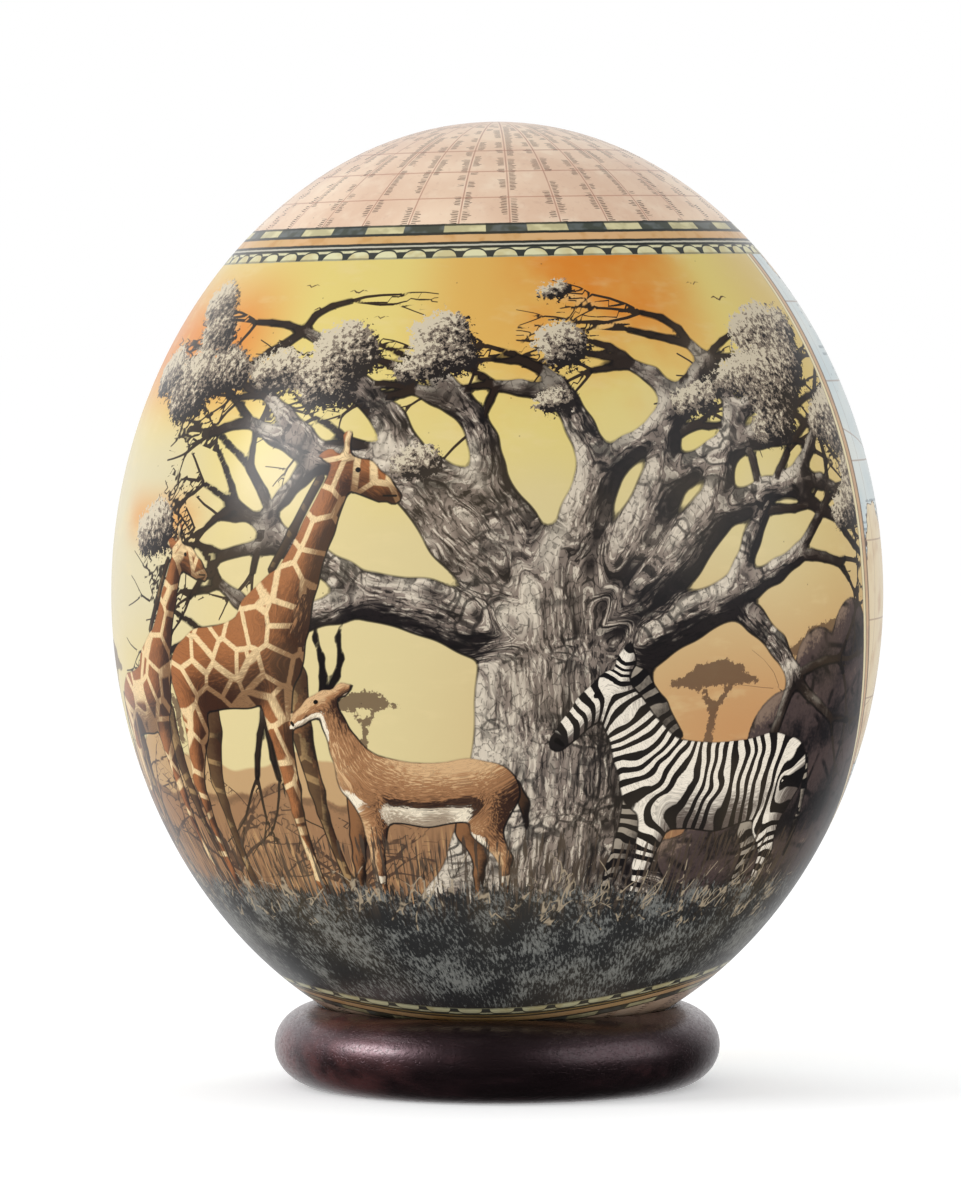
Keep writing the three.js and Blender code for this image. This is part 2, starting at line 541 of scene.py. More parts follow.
def branch(draw, x, y, heading, radius, length, run, bodies, twigs, tips, spread=0.62, top=CROWN_TOP):
    """Adds a bent, tapered limb and, at its end, two or three smaller ones. Near the top of
    the crown the limbs level out."""
    for piece in range(3):
        heading += draw.uniform(-0.20, 0.20)
        crowding = min(max((y - top + CROWN_TOP - CROWN_KNEE) / (CROWN_TOP - CROWN_KNEE), 0), 1)
        if math.sin(heading) > 0:
            level = 0 if math.cos(heading) > 0 else math.pi
            heading += (level - heading) * crowding * 0.45
        end_x = x + math.cos(heading) * length / 3
        end_y = y + math.sin(heading) * length / 3
        tone = min(radius / THICK_LIMB, 1.0)
        limb = (x, y, radius, end_x, end_y, radius * LIMB_TAPER, tone, run)
        (bodies if radius > THINNEST_BODY else twigs).append(limb)
        x, y, radius, run = end_x, end_y, radius * LIMB_TAPER, run + length / 3
    if radius < THINNEST_BODY:
        tips.append((x, y))
    if radius < THINNEST_TWIG:
        return
    shoots = 3 if draw.random() < 0.25 else 2
    for shoot in range(shoots):
        turn = spread * (shoot - (shoots - 1) / 2) * draw.uniform(0.8, 1.7)
        thinner = radius * draw.uniform(0.58, 0.76)
        shorter = length * draw.uniform(0.66, 0.84)
        branch(draw, x, y, heading + turn, thinner, shorter, run, bodies, twigs, tips, spread, top)


BAOBAB_PLACE = (9, 33.0, 1.0, 1)
TRUNK = (
    chain((0, -6, 19), (0.5, 10, 16.5), (1.5, 24, 15), (1, 38, 14), (0, 50, 12.0), (0, 56, 8.5), start=-6)
    + chain((-13, -6, 7), (-10, 8, 5), (-7, 20, 5), start=-6)
    + chain((13, -6, 8), (10.5, 9, 6), (8, 22, 5), start=-6)
    + chain((-20, -6, 5), (-15, 3, 4), (-11, 12, 3), start=-6)
    + chain((21, -6, 5), (16, 3, 4), (12, 12, 3), start=-6)
)
# Where each main limb leaves the trunk: x, y, heading in degrees, radius, length.
MAIN_LIMBS = [
    (-6, 46, 160, 5.0, 25), (-5, 51, 136, 5.6, 25), (-2, 54, 110, 4.8, 18), (2, 55, 80, 4.6, 17),
    (5, 53, 55, 5.2, 21), (7, 49, 33, 5.4, 25), (7, 43, 14, 4.2, 24),
]
LEAF_TUFTS = 44
grower = random.Random(11)
baobab, twigs, tips = list(TRUNK), [], []
for x, y, heading, radius, length in MAIN_LIMBS:
    branch(grower, x, y, math.radians(heading), radius, length, y, baobab, twigs, tips)
tips = [tip for tip in tips if tip[1] > LOWEST_LEAVES]
tufts = []
for x, y in grower.sample(tips, min(LEAF_TUFTS, len(tips))):
    size = grower.uniform(1.4, 2.6) + 2.4 * min(abs(x) / 45, 1)
    tufts += chain((x - size * 0.5, y, size * 0.8), (x + size * 0.6, y + size * 0.3, size))

# Leafless thorn scrub on the plain: longitude, height of the root, size, and how many stems.
SCRUB = [(-52, 38, 30, 9), (-80, 40, 34, 8), (-25, 36, 22, 7), (62, 42, 40, 9), (48, 38, 28, 7)]


def thorn_bush(draw, size, stems):
    """A leafless bush: stems that fan out from a root and fork."""
    wood = []
    for stem in range(stems):
        heading = math.radians(90 + 124 * (stem - (stems - 1) / 2) / stems + draw.uniform(-9, 9))
        reaching = size * draw.uniform(0.32, 0.5)
        branch(draw, 0, 0, heading, 0.42, reaching, 0, wood, wood, [], spread=0.8, top=size)
    return wood


# Grass stalks stand up out of the turf, from the left frame to the right one.
STALKS, STALK_JOINTS = 180, 4
stalks = []
for _ in range(STALKS):
    spot = grower.uniform(-88, 68)
    foot = grower.uniform(29, 35.5)
    size = grower.uniform(2.5, 10.0)
    heading = math.radians(90 + grower.gauss(0, 22))
    bow = grower.uniform(-0.30, 0.30)
    x, y, line = 0.0, 0.0, [(0.0, 0.0, 0.13)]
    for joint in range(STALK_JOINTS):
        heading += bow
        x += math.cos(heading) * size / STALK_JOINTS
        y += math.sin(heading) * size / STALK_JOINTS
        line.append((x, y, 0.12 - 0.02 * joint))
    stalks.append((chain(*line), (spot, foot, 1.0, 1)))

# Flat-topped trees on the skyline: longitude, height, millimetres a unit.
SKYLINE_TREES = [(-86, 60, 1.0), (-56, 61, 0.8), (-20, 60, 0.6), (33, 61, 0.85), (56, 63, 1.1), (72, 62, 0.8)]
UMBRELLA_TREE = (
    chain((0, -2, 1.0), (0.4, 5, 0.7), (-3, 9, 0.5)) + chain((0.4, 5, 0.6), (4, 9.5, 0.5))
    + chain((-9, 10, 0.6), (-5, 10.6, 1.2), (0, 11.2, 1.5), (5, 11.2, 1.3), (10, 10.2, 0.6))
    + chain((-4, 12.6, 0.9), (2, 13.2, 1.1), (6, 12.6, 0.7))
)
BIRD = chain((-2.4, 0.5, 0.10), (-1.2, 1.1, 0.22), (0, 0.1, 0.26), (1.3, 1.2, 0.22), (2.5, 0.7, 0.10))
BIRDS = [
    (-33, 128, 0.9), (-27, 131, 0.7), (-38, 132, 0.6), (-21, 127, 0.55), (46, 130, 0.8), (41, 132.5, 0.6),
]

# A rocky hill at the right. Boulders: x, y, radius.
BOULDERS = [
    (-16, 8, 8), (-12, 3, 9), (-3, 5, 11), (10, 6, 12), (24, 8, 13), (-6, 18, 9), (5, 21, 10),
    (17, 24, 11), (30, 24, 12), (1, 33, 8), (12, 36, 9), (25, 39, 9), (8, 45, 6), (19, 49, 6.5),
    (38, 12, 12), (38, 36, 9),
]
BOULDER_PLACE = (47, 31.0, 0.98, 1)

far_cel, rock_cel, tree_cel, leaf_cel = Cel("far"), Cel("rock"), Cel("tree"), Cel("leaf")
behind_cel, body_cel = Cel("behind"), Cel("body")
line_sheet, twig_sheet = Lines("line"), Lines("twig")
scrub_sheet, stalk_sheet = Lines("scrub"), Lines("stalk")
for spot, foot, unit in SKYLINE_TREES:
    far_cel.draw(UMBRELLA_TREE, (spot, foot, unit, 1))
boulders = [limb for x, y, r in BOULDERS for limb in chain((x, y, r), (x + 0.1, y, r))]
rock_cel.draw(boulders, BOULDER_PLACE, sharp=1.6)
tree_cel.draw([limb for limb in baobab if limb[2] > 1.0], BAOBAB_PLACE, sharp=1.6, melt=0.9)
tree_cel.draw([limb for limb in baobab if limb[2] <= 1.0], BAOBAB_PLACE, sharp=6.0, melt=0.9)
leaf_cel.draw(tufts, BAOBAB_PLACE, sharp=1.1)
twig_sheet.draw(twigs, BAOBAB_PLACE)
for spot, foot, size, stems in SCRUB:
    scrub_sheet.draw(thorn_bush(grower, size, stems), (spot, foot, 1.0, 1))
for spot, foot, unit in BIRDS:
    scrub_sheet.draw(BIRD, (spot, foot, unit, 1))
for line, where in stalks:
    stalk_sheet.draw(line, where)
coats = np.zeros(len(points))
for body, behind, lines, coat, spot, foot, unit, facing in HERD:
    where = (spot, foot, unit, facing)
    before = body_cel.edge.copy(), behind_cel.edge.copy()
    body_cel.draw(body, where)
    behind_cel.draw(behind, where)
    coats[(body_cel.edge < before[0]) | (behind_cel.edge < before[1])] = coat
    line_sheet.draw(lines, where)
for drawing in (
    far_cel, rock_cel, tree_cel, leaf_cel, behind_cel, body_cel,
    line_sheet, twig_sheet, scrub_sheet, stalk_sheet,
):
    drawing.write()
store("coat", coats)


def pigment(code):
    """A colour written as in a paint chart, as Blender's linear one."""
    parts = [int(code[i : i + 2], 16) / 255 for i in (0, 2, 4)]
    return (*[c / 12.92 if c < 0.04045 else ((c + 0.055) / 1.055) ** 2.4 for c in parts], 1)


def lay(under, over, cover):
    """One colour laid on another where cover is 1. Colours are codes or painted already."""
    under, over = (pigment(c) if isinstance(c, str) else c for c in (under, over))
    return Paint(Paint.node("Mix", {"data_type": "RGBA"}, {0: cover, 6: under, 7: over}).outputs[2])


def spot_at(x, y, z=0.0):
    return Paint(Paint.node("CombineXYZ", None, {0: x, 1: y, 2: z}).outputs[0])


def stretched(place, amounts):
    return Paint(Paint.node("VectorMath", {"operation": "MULTIPLY"}, {0: place, 1: amounts}).outputs[0])


def grain(place, size, detail=2.0, rough=0.5):
    """Soft random mottling, from 0 to 1, with lumps of about this size."""
    inputs = {"Vector": place, "Scale": 1 / size, "Detail": detail, "Roughness": rough}
    return Paint(Paint.node("TexNoise", None, inputs).outputs["Fac"])


def cells(place, size, feature="F1"):
    inputs = {"Vector": place, "Scale": 1 / size}
    return Paint(Paint.node("TexVoronoi", {"feature": feature}, inputs).outputs["Distance"])


def stored(name, output="Vector"):
    return Paint(Paint.node("Attribute", {"attribute_name": name}).outputs[output])


def line_mask(name, thicker=0.0):
    """1 on a sheet's thin lines."""
    way_x, way_y, radius = stored(name + "_way").split()
    gap = (way_x * way_x + way_y * way_y).math("SQRT") - radius - thicker
    return gap.ease(0.07, -0.07) * stored(name + "_gap", "Fac").ease(1.0, 0.75)


def lit(lean_x, lean_y, amount=1.0):
    """How far a rounded body is lit, from the upper left."""
    return 0.5 + (lean_y * 0.40 - lean_x * 0.34) * amount


def object_millimetres():
    place = Paint(Paint.node("TexCoord").outputs["Object"])
    return Paint(Paint.node("VectorMath", {"operation": "SCALE"}, {0: place, "Scale": 1000.0}).outputs[0])


# What the paints share: places on the shell, mottling in three sizes, and the skew that takes the
# upper border up a little to the right.
varnished_shell = new_finish("varnished_shell")
place = object_millimetres()
x, y, height = place.split()
turn = x.math("ARCTAN2", -y)
width = (x * x + y * y).math("SQRT")
sheet = spot_at(turn * SHELL_RADIUS, height)
fine = grain(place, 0.5, 2)
soft = grain(place, 3.0, 2)
broad = grain(place, 16.0, 1)
rough_line = (grain(place, 1.8, 2, 0.7) - 0.5) * 0.30
skew = x * 0.0205


def paint_sky():
    """Yellow with orange washes, browner and paler towards the skyline."""
    patchy = grain(place, 11.0, 3, 0.6)
    sky = lay("cdbd8a", "d4c172", (height + (broad - 0.5) * 30).ease(88, 122))
    sky = lay(sky, "d2a654", turn.within(-0.22, 0.70, 0.14) * (height + patchy * 22).ease(120, 138))
    sky = lay(sky, "d17e24", turn.within(0.08, 0.62, 0.16) * (height + patchy * 26).ease(134, 150))
    sky = lay(sky, "d2863a", turn.ease(-0.58, -0.92) * height.within(114, 132, 8) * patchy.ease(0.22, 0.42))
    sky = lay(sky, "c8be9c", turn.ease(-0.75, -1.05) * height.within(76, 108, 7) * 0.85)
    sky = lay(sky, "d08f42", turn.within(-1.25, -0.88, 0.09) * height.within(92, 98, 4) * 0.85)
    sky = lay(sky, "c9a86a", turn.ease(0.75, 1.1) * 0.5)
    sky = lay(sky, "b97f4c", height.ease(96, 60) * turn.ease(-0.35, 0.7) * 0.85)
    return lay(sky, "d9c692", grain(stretched(place, (1, 1, 2.8)), 9.0, 3, 0.6).ease(0.52, 0.75) * 0.3)


def paint_plain(picture):
    """Far hills, umbrella trees, dry scrub and birds."""
    ridge = height - 57 - (grain(stretched(sheet, (1, 0, 0)), 30.0, 2) - 0.5) * 22
    picture = lay(picture, "a87a52", ridge.ease(0.3, -0.3) * 0.7)
    near_ridge = height - 51 - (grain(stretched(sheet, (1, 0, 1)), 17.0, 2) - 0.5) * 12
    picture = lay(picture, "8a6243", near_ridge.ease(0.3, -0.3) * 0.8)
    picture = lay(picture, "54402f", (near_ridge + fine * 1.6).within(-0.4, 0.6, 0.5) * 0.5)
    stubble = grain(stretched(sheet, (1, 0.12, 1)), 0.8, 2, 0.6)
    picture = lay(picture, "5b4130", near_ridge.ease(-2, -9) * stubble.ease(0.52, 0.62) * 0.55)
    picture = lay(picture, "c9a06a", near_ridge.ease(-2, -9) * stubble.ease(0.44, 0.36) * 0.45)
    edge = stored("far_form").split()[0]
    ragged = edge + (grain(place, 0.8, 2, 0.7) - 0.5) * 1.8
    picture = lay(picture, "5a4130", ragged.ease(0.12, -0.12) * 0.85)
    return lay(picture, "49352a", line_mask("scrub", -0.05) * (soft.ease(0.25, 0.5) * 0.35 + 0.6))


def paint_rocks(picture):
    """A hill of dark brown boulders with cracks."""
    edge, lean_x, lean_y = stored("rock_form").split()
    light = lit(lean_x, lean_y) + (soft - 0.5) * 0.5 + (fine - 0.5) * 0.45
    rock = lay("1c191c", "4a3c3a", light.ease(0.30, 0.72))
    rock = lay(rock, "86705f", light.ease(0.74, 1.0) * 0.85)
    crack = cells(place, 7.0, "DISTANCE_TO_EDGE")
    rock = lay(rock, "121013", crack.ease(0.10, 0.02) * soft.ease(0.4, 0.6) * 0.85)
    picture = lay(picture, rock, (edge + (fine - 0.5) * 0.5).ease(0.15, -0.15))
    return lay(picture, "151315", abs(edge + 0.1).ease(0.35, 0.1) * (1.2 - light * 0.8).least(0.8).most(0.2))


def paint_baobab(picture):
    """Pale grey bark in folds and plates, inked along the limbs, with twigs and tufts of leaf."""
    edge, lean_x, lean_y = stored("tree_form").split()
    along, side, tone = stored("tree_run").split()
    fold = grain(spot_at(side, along * 0.22), 1.5, 2, 0.6)
    light = lit(lean_x, lean_y, 1.3) + (fold - 0.5) * 1.2 + (broad - 0.5) * 0.5
    bark = lay("211b1c", "84766b", light.ease(0.16, 0.62))
    bark = lay(bark, "cfc3b0", light.ease(0.56, 0.98) * 0.92)
    stroke = grain(spot_at(side + (soft - 0.5) * 1.2, along * 0.18), 0.44, 1)
    bark = lay(bark, "181415", stroke.ease(0.435, 0.40) * light.ease(1.15, 0.35) * 0.9)
    bark = lay(bark, "d6cab6", stroke.ease(0.595, 0.63) * light.ease(0.15, 0.6) * 0.7)
    plates = cells(spot_at(side + (soft - 0.5) * 2, along * 0.9), 2.3, "DISTANCE_TO_EDGE")
    bark = lay(bark, "1a1718", plates.ease(0.16, 0.04) * grain(place, 9, 1).ease(0.42, 0.62) * 0.8)
    wrinkles = cells(stretched(place, (1, 1, 0.7)), 1.25, "DISTANCE_TO_EDGE")
    bark = lay(bark, "1a1718", wrinkles.ease(0.09, 0.03) * fine.ease(0.42, 0.55) * 0.55)
    bark = lay(bark, "2c211b", tone.ease(0.55, 0.2))
    picture = lay(picture, "33281f", line_mask("twig"))
    picture = lay(picture, bark, edge.ease(0.1, -0.1))
    picture = lay(picture, "151213", abs(edge).ease(0.30, 0.08) * (1.25 - light * 0.75).least(0.9).most(0.2))
    edge, lean_x, lean_y = stored("leaf_form").split()
    leaf = grain(place, 0.9, 3, 0.75)
    light = lit(lean_x, lean_y, 0.8) + (leaf - 0.5) * 1.9
    leaves = lay("262120", "7d7062", light.ease(0.36, 0.44))
    leaves = lay(leaves, "cbbfa6", light.ease(0.58, 0.66) * 0.9)
    return lay(picture, leaves, (edge + (leaf - 0.5) * 6.5).ease(0.1, -0.2))


def paint_herd(picture):
    """The animals: far legs, tails and horns first, then the bodies, each coat with its own
    markings and short hair."""
    coat = stored("coat", "Fac")
    patched = coat.within(0.5, 1.5, 0.01)
    striped = coat.ease(1.49, 1.51)
    edge, lean_x, lean_y = stored("body_form").split()
    along, side = stored("body_run").split()[:2]
    hair = grain(spot_at(along * 0.35, side * 1.9), 0.55, 2, 0.6)
    light = lit(lean_x, lean_y, 1.35) + (hair - 0.5) * 0.6
    brushed = light + (hair - 0.5) * 0.7
    ink = (1.30 - light * 0.95).least(0.95).most(0.15)
    tan = lay("3a241a", "9c6e47", brushed.ease(0.05, 0.55))
    tan = lay(tan, "d0aa7c", brushed.ease(0.55, 0.95) * 0.9)
    trunk_only = along.ease(9.5 * ANTELOPE_UNIT, 7.5 * ANTELOPE_UNIT)
    underside = (lean_y + (hair - 0.5) * 0.3).ease(-0.38, -0.46)
    tan = lay(tan, lay("9c8a74", "e6d9c0", light.ease(0.0, 0.3)), underside)
    tan = lay(tan, "2f1d17", (lean_y + (hair - 0.5) * 0.3).within(-0.46, -0.22, 0.03) * trunk_only * 0.85)
    hide = lay("7d5b3c", "dfc291", light.ease(0.12, 0.72))
    seams = cells(place, 5.2, "DISTANCE_TO_EDGE")
    blotch = lay("3c2216", "9c6136", light.ease(0.12, 0.85))
    giraffe = lay(hide, blotch, (seams + (hair - 0.5) * 0.05).ease(0.055, 0.10))
    wandering = (grain(place, 7.0, 1) - 0.5) * 4.0 + side * 0.10
    stripe_rate = 2.9
    stripe = ((along + wandering) * stripe_rate).wave() + (hair - 0.5) * 0.4
    zebra = lay("5b504a", "e6dccb", light.ease(0.05, 0.55))
    zebra = lay(zebra, "171416", stripe.ease(-0.15, 0.15))
    zebra = lay(zebra, "1e1a1b", along.ease(39.4 * ZEBRA_UNIT, 40.4 * ZEBRA_UNIT))
    beast = lay(lay(tan, giraffe, patched), zebra, striped)
    beast = lay(beast, "1a1516", abs(hair - 0.5).ease(0.03, 0.0) * 0.4)

    behind_edge, lean_x, lean_y = stored("behind_form").split()
    along, _, tone = stored("behind_run").split()
    light = lit(lean_x, lean_y) + (fine - 0.5) * 0.4
    far_tan = lay("241814", "855a37", light.ease(0.1, 0.8))
    far_hide = lay(lay("32231a", "98794f", light.ease(0.1, 0.8)), "3f2619", seams.ease(0.055, 0.10) * 0.8)
    far_pale = lay("332d2b", "968b7c", light.ease(0.1, 0.8))
    far_stripe = ((along + wandering) * stripe_rate).wave()
    far_pale = lay(far_pale, "171416", far_stripe.ease(-0.15, 0.15))
    legs = lay(lay(far_tan, far_hide, patched), far_pale, striped)
    legs = lay(legs, "1c1615", tone.ease(0.55, 0.2))
    picture = lay(picture, legs, behind_edge.ease(0.08, -0.08))
    picture = lay(picture, "171314", abs(behind_edge).ease(0.22, 0.05) * 0.85)
    picture = lay(picture, beast, edge.ease(0.08, -0.08))
    picture = lay(picture, "171314", abs(edge).ease(0.24, 0.06) * ink)
    return lay(picture, "100e10", line_mask("line"))


def paint_turf(picture):
    """Dark ground, flecked with grey grass that leans a little, under blades and stalks."""
    leaning = spot_at(turn * 52 + height * 0.5, height * 0.42 - turn * 12)
    flecks = grain(leaning, 0.55, 3, 0.75) + (grain(place, 6.0, 2) - 0.5) * 0.55 - height.ease(21, 15) * 0.05
    ground = lay("2a2a2a", "5c5d5a", flecks.ease(0.50, 0.545))
    ground = lay(ground, "777873", flecks.ease(0.58, 0.63) * 0.75)
    blade = grain(stretched(sheet, (1, 0.10, 1)), 0.7, 2, 0.6)
    turf = 35.5 + (broad - 0.5) * 5 + (blade - 0.42) * 15
    picture = lay(picture, "463a30", (turf + 6.0 - height).ease(-0.2, 0.3) * blade.ease(0.50, 0.58) * 0.9)
    ground = lay(ground, "5d4c3c", height.ease(30, 36) * blade.ease(0.5, 0.6) * 0.6)
    picture = lay(picture, ground, (turf - height).ease(-0.2, 0.35))
    return lay(picture, lay("2a2520", "a3937a", soft.ease(0.46, 0.54)), line_mask("stalk") * 0.85)


def paint_chart():
    """An old chart: pale sea, an invented coast with shore hatching, ruled lines and a plain
    compass rose."""
    round_back = (-x).math("ARCTAN2", y)
    rose_x = (round_back + 0.05) * 63
    rose_y = height - 86
    rose = (rose_x * rose_x + rose_y * rose_y).math("SQRT")
    point_turn = rose_x.math("ARCTAN2", rose_y) / (2 * math.pi)
    land_field = grain(place, 34.0, 5, 0.55) + (grain(place, 80.0, 0) - 0.5) * 0.6 - rose.ease(40, 12) * 0.12
    land = land_field.ease(0.535, 0.54)
    chart = lay("bccacd", "d2d8d4", grain(place, 12.0, 3).ease(0.3, 0.7))
    chart = lay(chart, "dcc9a4", land)
    chart = lay(chart, "b98f63", land * grain(place, 7.0, 3).ease(0.48, 0.7) * 0.6)
    shore = abs(land_field - 0.537)
    hatching = (height * 5.5).wave().ease(0.1, 0.6)
    chart = lay(chart, "71828a", shore.ease(0.026, 0.018) * (1 - land) * hatching * 0.75)
    rhumb = abs((point_turn * 16).part() - 0.5) * rose * 2 * math.pi / 16
    chart = lay(chart, "9a7a66", rhumb.ease(0.20, 0.08) * rose.ease(13, 14) * 0.6)
    chart = lay(chart, "4b3428", shore.ease(0.0045, 0.0015))
    meridians = abs((turn * 12 / math.pi).part() - 0.5).ease(0.491, 0.4975)
    parallels = abs((height / 13.0).part() - 0.5).ease(0.486, 0.494)
    chart = lay(chart, "8f6a55", meridians.most(parallels) * 0.6)
    for count, size in ((8, 9.0), (4, 12.5)):
        across = (point_turn * count).part()
        star = rose - 1.4 - abs(across - 0.5) * 2 * size
        chart = lay(chart, lay("e8dcc0", "7d3b2b", across.ease(0.49, 0.51)), star.ease(0.15, -0.15))
        chart = lay(chart, "33241e", abs(star).ease(0.20, 0.07) * rose.ease(14.2, 14.0))
    for circle in (6.4, 14.2, 15.0):
        chart = lay(chart, "33241e", abs(rose - circle).ease(0.20, 0.08) * 0.9)
    return chart


RIGHT_FRAME, LEFT_FRAME = 1.185, 1.62  # radians round from the front


def frame_strips(paper):
    """The printed frame between the scene and the chart, which curves away near the ground."""
    lean = (height - 90).least(0.0) ** 2.0 * 0.00012
    past_right = (turn - RIGHT_FRAME - lean) * width
    past_left = (-turn - LEFT_FRAME) * width
    outside = past_right.most(past_left) + rough_line * 0.6
    paper = lay(paper, paint_chart(), outside.ease(3.1, 3.2))
    strip = lay("ddd0a6", "c39f78", outside.ease(1.2, 1.3))
    strip = lay(strip, "a98a78", outside.ease(1.3, 1.4) * soft.ease(0.45, 0.7) * 0.5)
    paper = lay(paper, strip, outside.within(0.0, 3.15, 0.10))
    for line, weight in ((0.0, 0.4), (1.25, 0.8), (2.9, 0.8), (3.2, 0.7)):
        paper = lay(paper, "5a463a", abs(outside - line).ease(0.26, 0.10) * weight)
    return paper


# The printed border, from the picture outwards: arches, a double rule, a tan band and a band of
# long dashes, with rules between them.
ARCH_HEIGHT = 1.32
RULE_1, RULE_2, TAN_END, BORDER_END = 1.62, 2.30, 3.85, 5.30


def paint_border(paper, rim, arches, arch_turn, dashes, dash_turn, rule_paper, half_width, bulge):
    """Rim counts millimetres from the picture's edge. The turns line up an arch and a dash.
    Half_width is an arch's, as a share of the pitch, and bulge is how square its shoulders are."""
    rim = rim + rough_line * 0.5
    across = abs((turn * arches / (2 * math.pi) + arch_turn).part() - 0.5) / half_width
    arch = (1 - across ** bulge).most(0.0) ** 0.55 * ARCH_HEIGHT
    ink, pale = "363a38", "d3cfa6"
    colour = lay(ink, lay("c8c29e", pale, fine.ease(0.4, 0.6)), rim.ease(0.98, 1.10))
    colour = lay(colour, lay(pale, "c4b98a", soft.ease(0.4, 0.65)), (arch - rim).ease(-0.03, 0.06))
    colour = lay(colour, ink, abs(arch - rim).ease(0.19, 0.08) * rim.ease(0.05, 0.2))
    colour = lay(colour, rule_paper, rim.ease(RULE_1, RULE_1 + 0.1))
    tan = lay("c8a269", "d2a878", broad.ease(0.35, 0.65))
    tan = lay(tan, "ba8746", soft.ease(0.5, 0.7) * 0.55)
    colour = lay(colour, tan, rim.ease(RULE_2, RULE_2 + 0.1))
    dash = (turn * dashes / (2 * math.pi) + dash_turn + rim * 0.006 + rough_line * 0.03).part()
    dark_dash = lay("43483f", "5c6260", soft.ease(0.45, 0.6))
    pale_dash = lay("cfc79b", "b5ad84", soft.ease(0.4, 0.6))
    dashed = lay(pale_dash, dark_dash, dash.within(0.0, 0.5, 0.008))
    colour = lay(colour, dashed, rim.ease(TAN_END, TAN_END + 0.1))
    for rule, weight in ((0.0, 0.5), (RULE_1, 1.0), (RULE_2, 1.0), (TAN_END, 1.0), (BORDER_END, 0.9)):
        colour = lay(colour, "2b2f2c", abs(rim - rule).ease(0.28, 0.14) * weight)
    return lay(paper, colour, rim.within(-0.12, BORDER_END + 0.12, 0.05))


CAP_MERIDIANS = 30
CAP_RINGS = (146.6, 150.9, 154.4)


def paint_cap():
    """Pinkish paper ruled with meridians and rings, with rows of fine hatch marks at each one."""
    cap = lay("e8ceb4", "dabaa0", grain(place, 20, 2).ease(0.35, 0.65))
    cap = lay(cap, "eeddc5", soft.ease(0.45, 0.8) * 0.4)
    cap = lay(cap, "b7917f", grain(place, 1.2, 2, 0.7).ease(0.55, 0.75) * 0.2)
    column = turn * CAP_MERIDIANS / (2 * math.pi) + 0.25
    aside = (column.part() - 0.5) * width * 2 * math.pi / CAP_MERIDIANS
    cap = lay(cap, "95594c", abs(aside).ease(0.17, 0.06) * (0.30 + soft * 0.5) * width.ease(2.0, 5.0))
    for ring_height in CAP_RINGS:
        ring_gap = abs(height - skew - ring_height + rough_line * 0.3)
        cap = lay(cap, "ad7a66", ring_gap.ease(0.13, 0.04) * 0.65)
    from_pole = width + (SHELL_MIDDLE + SHELL_HALF_LENGTH - height) * 0.45
    row = from_pole * 15.0
    shift = column.whole() * 7.3
    which_side = aside.ease(-0.1, 0.1) * 3.0
    group = grain(spot_at(shift + which_side * 5.0, from_pole * 0.8, which_side), 1.9, 0).ease(0.45, 0.50)
    length = 0.35 + grain(spot_at(shift, from_pole * 3.0, which_side), 1.0, 1) * 1.9
    mark = (row + abs(aside) * 2.0).wave().ease(-0.1, 0.5) * group * abs(aside).within(0.34, length, 0.08)
    return lay(cap, "3f2b28", mark * (0.65 + fine * 0.5) * width.ease(6.0, 11.0))


# The picture's lower edge runs higher at the sides, and its border is narrower than the upper one.
PICTURE_TOP, PICTURE_BOTTOM, BOTTOM_RISE = 137.0, 15.6, 4.6
LOWER_BORDER_SHRINK = 1.5
paper = paint_turf(paint_herd(paint_baobab(paint_rocks(paint_plain(paint_sky())))))
paper = frame_strips(paper)
cap_paper = paint_cap()
above = height - PICTURE_TOP - skew
paper = lay(paper, cap_paper, above.ease(BORDER_END - 0.3, BORDER_END))
paper = paint_border(paper, above, 57, 0.231, 19, 0.111, "bdb9a8", 0.40, 3.0)
picture_foot = PICTURE_BOTTOM + turn.wave() ** 2.0 * BOTTOM_RISE + x * 0.034
below = (picture_foot - height) * LOWER_BORDER_SHRINK
paper = lay(paper, cap_paper, below.ease(BORDER_END - 0.3, BORDER_END))
# Painted shade: the band between the lower border's rules is painted darker than the upper border's.
paper = paint_border(paper, below, 39, 0.348, 19, 0.30, "a98a50", 0.38, 6.0)

# Painted shade darkens the paper down by the stand. The varnish has yellowed a little and holds
# a few specks, and the paper's wrinkles show in it.
paper = lay(paper, "3a3226", below.ease(-1.5, 1.5) * 0.45)
paper = lay(paper, "dcc08a", grain(place, 24.0, 2).ease(0.45, 0.75) * 0.04)
paper = lay(paper, "3d3028", cells(place, 4.2).ease(0.045, 0.02) * 0.5)
wrinkle = grain(place, 5.0, 2) * 0.35 + grain(place, 0.9, 1) * 0.08
bump = Paint.node("Bump", None, {"Strength": 0.10, "Distance": 0.0004, "Height": wrinkle})
put_on(shell, varnished_shell, {
    "Base Color": paper,
    "Roughness": 0.34 + (soft - 0.5) * 0.10,
    "Normal": Paint(bump.outputs[0]),
    "Specular IOR Level": 0.25,
    "Coat Weight": 0.28,
    "Coat Roughness": 0.24,
})
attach(shell, "root")
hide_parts("ostrich_egg")

# ---------------------------------------------------------------------------------------------
# The stand: one ring turned from dark hardwood, oval in section, with a plain bore and a seat
# dished to the egg. It is stained red-brown, nearly black, and lacquered to a satin shine.
OVAL_CENTRE_RADIUS = 29.1
OVAL_HALF_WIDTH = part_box("ring_stand")[1].x * 1000 - OVAL_CENTRE_RADIUS
OVAL_HALF_HEIGHT = 6.83
FOOT_FLAT_DEPTH = 0.19
OVAL_CENTRE_Z = OVAL_HALF_HEIGHT - FOOT_FLAT_DEPTH
BORE_RADIUS = 21.4
BORE_CHAMFER = 0.8
SEAT_RIM_RADIUS = 29.9
SEAT_GAP = 0.32
RIM_ROUNDING = 0.35
OVAL_STEPS, SEAT_STEPS, RING_TURNS = 44, 10, 240


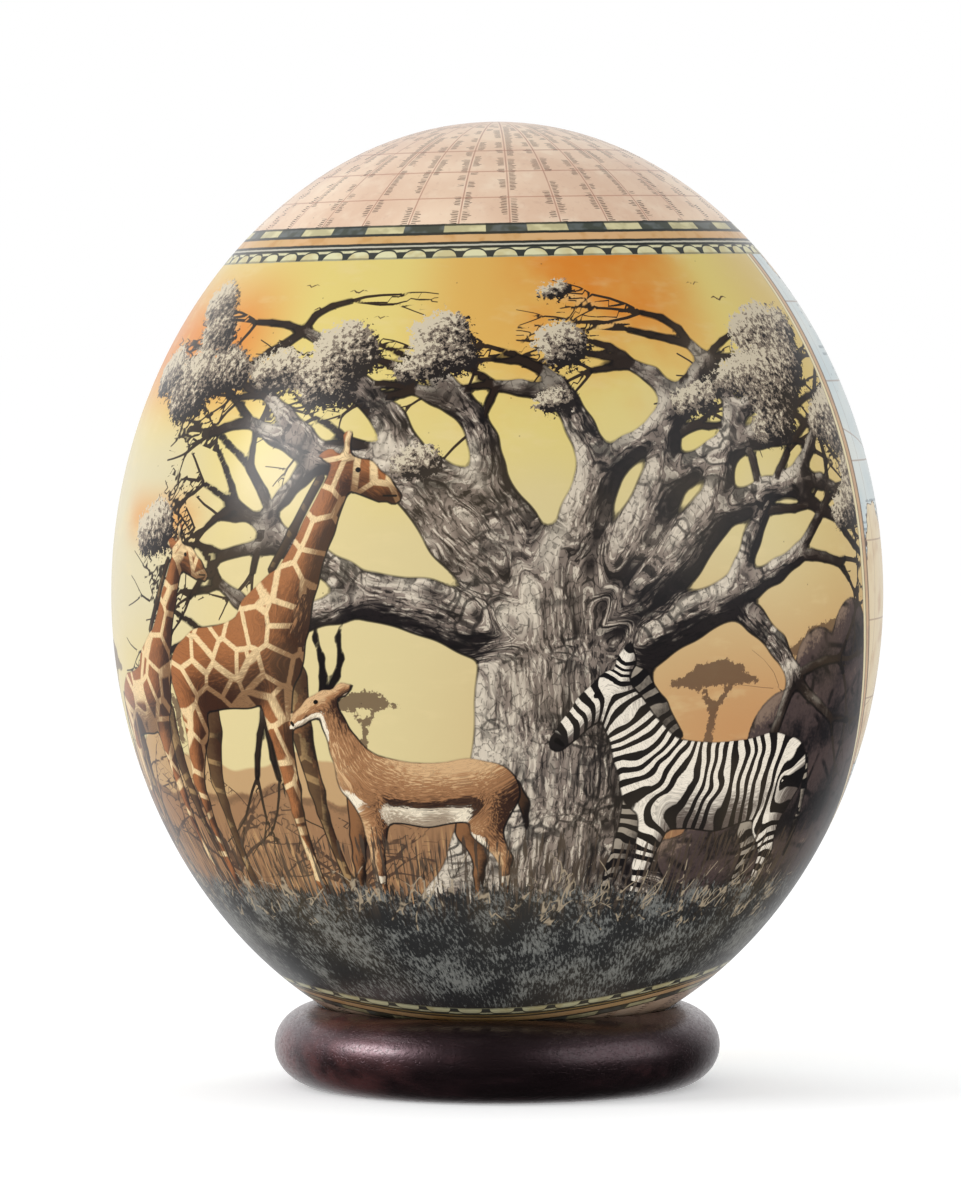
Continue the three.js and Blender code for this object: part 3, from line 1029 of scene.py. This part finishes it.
def seat_point(radius):
    """The shell's lower surface at this radius, moved out by the gap, in millimetres."""
    lower = heights < SHELL_MIDDLE
    z = np.interp(radius, radii[lower], heights[lower])
    slope = (np.interp(radius + 0.05, radii[lower], heights[lower]) - z) / 0.05
    away = np.array([slope, -1.0]) / math.hypot(slope, 1.0)
    return radius + away[0] * SEAT_GAP, z + away[1] * SEAT_GAP


def ring_profile():
    """Out along the foot, over the oval, and down the seat to the bore."""
    foot = math.acos(OVAL_CENTRE_Z / OVAL_HALF_HEIGHT)
    rim_x = seat_point(SEAT_RIM_RADIUS)[0]
    last = math.pi - math.asin((rim_x + RIM_ROUNDING - OVAL_CENTRE_RADIUS) / OVAL_HALF_WIDTH)
    outline = [(BORE_RADIUS + BORE_CHAMFER, 0.0), (BORE_RADIUS + 3, 0.0), (26.5, 0.0)]
    for angle in np.linspace(foot, last, OVAL_STEPS):
        reach_out = OVAL_CENTRE_RADIUS + OVAL_HALF_WIDTH * math.sin(angle)
        outline.append((reach_out, OVAL_CENTRE_Z - OVAL_HALF_HEIGHT * math.cos(angle)))
    for radius in np.linspace(SEAT_RIM_RADIUS - RIM_ROUNDING, BORE_RADIUS, SEAT_STEPS):
        outline.append(seat_point(radius))
    seat_foot = outline[-1][0]
    outline += [(seat_foot, 6.0), (seat_foot, 3.0), (seat_foot, 0.9), (seat_foot + 0.2, 0.35)]
    outline.append((BORE_RADIUS + BORE_CHAMFER, 0.0))
    return [(0.0, -r / 1000, z / 1000) for r, z in outline]


ring = turned("turned_ring", ring_profile(), [(2 * math.pi, RING_TURNS)])

# Fine dark grain and open pores under lacquer. The grain runs along X, as in the plank. The left
# side is painted lighter and redder where the main light falls: painted light.
stained_wood = new_finish("stained_wood")
place = object_millimetres()
figure = grain(stretched(place, (0.12, 1, 1)), 5.0, 3, 0.6)
pores = grain(stretched(place, (0.08, 1, 1)), 0.35, 2, 0.6)
cloud = grain(place, 9.0, 2)
wood = lay("060203", "150709", figure.ease(0.35, 0.65))
wood = lay(wood, "40191a", figure.ease(0.50, 0.72) * cloud.ease(0.4, 0.65) * 0.5)
# Painted light: a lighter red-brown laid over the ring's left side.
left_painted_light = place.split()[0].ease(-6, -32)
wood = lay(wood, "5c2c27", left_painted_light * (cloud * 0.6 + figure * 0.4).ease(0.36, 0.60) * 0.8)
wood = lay(wood, "060203", pores.ease(0.60, 0.70) * 0.75)
dents = pores.ease(0.70, 0.55) * 0.35 + grain(place, 2.2, 2) * 0.5 + grain(place, 0.7, 2) * 0.35
bump = Paint.node("Bump", None, {"Strength": 0.32, "Distance": 0.0003, "Height": dents})
put_on(ring, stained_wood, {
    "Base Color": wood,
    "Roughness": 0.38 + (cloud - 0.5) * 0.12,
    "Normal": Paint(bump.outputs[0]),
    "IOR": 1.70,
    "Specular IOR Level": 1.0,
    "Specular Tint": (1.0, 0.66, 0.74, 1.0),
    "Coat Weight": 0.30 + grain(place, 0.55, 2, 0.6).ease(0.42, 0.58) * 0.50,
    "Coat Roughness": 0.22,
})
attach(ring, "root")
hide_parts("ring_stand")
